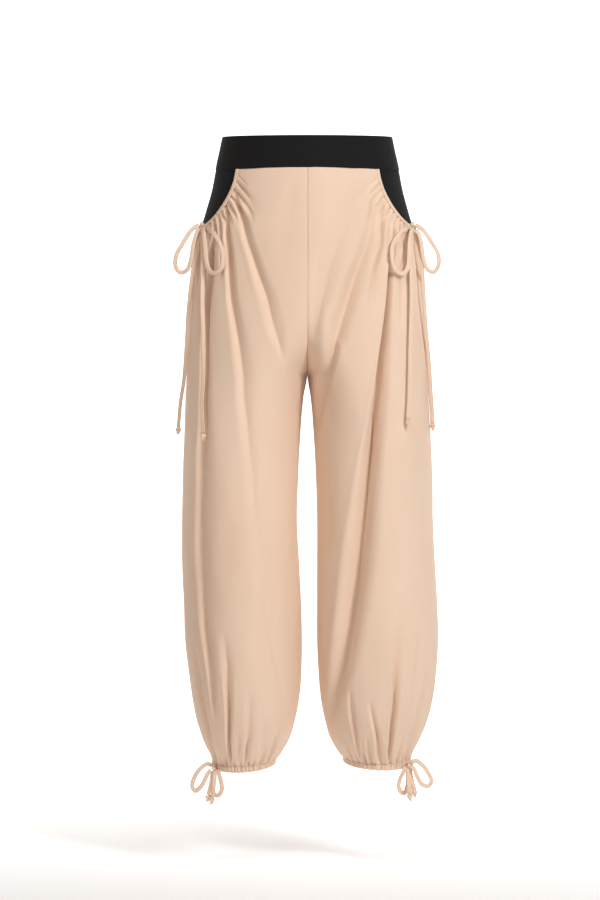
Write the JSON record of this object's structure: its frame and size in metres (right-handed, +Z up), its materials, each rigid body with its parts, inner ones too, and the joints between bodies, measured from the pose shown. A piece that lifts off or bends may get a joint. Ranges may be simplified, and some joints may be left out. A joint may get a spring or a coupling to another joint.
{
  "type": "balloon trousers",
  "caption": "Hollow balloon-leg trousers: wide knit waistband, dark hip insets, gathered casings and tied bows at hips and ankles.",
  "frame": {"origin": "the middle of the waist opening, halfway up the waistband, where the wearer's waist holds it up", "axes": "+Z up, -Y to the front, +X to the right as seen from the front; the garment hangs filled out, as if worn"},
  "size_m": [0.4166, 0.2384, 1.0533],
  "materials": {
    "black_knit": "fine matt stretch knit",
    "peach_crepe": "soft matt crepe",
    "tie_crepe": "the same crepe, folded flat and stitched"
  },
  "bodies": {
    "root": {"ankle_bow_knot_left": "tie_crepe", "ankle_bow_knot_right": "tie_crepe", "ankle_casing_left": "peach_crepe", "ankle_casing_right": "peach_crepe", "ankle_end_knot_inner_left": "tie_crepe", "ankle_end_knot_inner_right": "tie_crepe", "ankle_end_knot_outer_left": "tie_crepe", "ankle_end_knot_outer_right": "tie_crepe", "ankle_loop_inner_left": "tie_crepe", "ankle_loop_inner_right": "tie_crepe", "ankle_loop_outer_left": "tie_crepe", "ankle_loop_outer_right": "tie_crepe", "ankle_tail_inner_left": "tie_crepe", "ankle_tail_inner_right": "tie_crepe", "ankle_tail_outer_left": "tie_crepe", "ankle_tail_outer_right": "tie_crepe", "hip_bow_knot_left": "tie_crepe", "hip_bow_knot_right": "tie_crepe", "hip_casing_back_left": "peach_crepe", "hip_casing_back_right": "peach_crepe", "hip_casing_front_left": "peach_crepe", "hip_casing_front_right": "peach_crepe", "hip_end_knot_inner_left": "tie_crepe", "hip_end_knot_inner_right": "tie_crepe", "hip_end_knot_outer_left": "tie_crepe", "hip_end_knot_outer_right": "tie_crepe", "hip_loop_inner_left": "tie_crepe", "hip_loop_inner_right": "tie_crepe", "hip_loop_outer_left": "tie_crepe", "hip_loop_outer_right": "tie_crepe", "hip_panel_left": "black_knit", "hip_panel_right": "black_knit", "hip_tail_inner_left": "tie_crepe", "hip_tail_inner_right": "tie_crepe", "hip_tail_outer_left": "tie_crepe", "hip_tail_outer_right": "tie_crepe", "leg_back_left": "peach_crepe", "leg_back_right": "peach_crepe", "leg_front_left": "peach_crepe", "leg_front_right": "peach_crepe", "waistband_back": "black_knit", "waistband_front": "black_knit"}
  },
  "joints": []
}
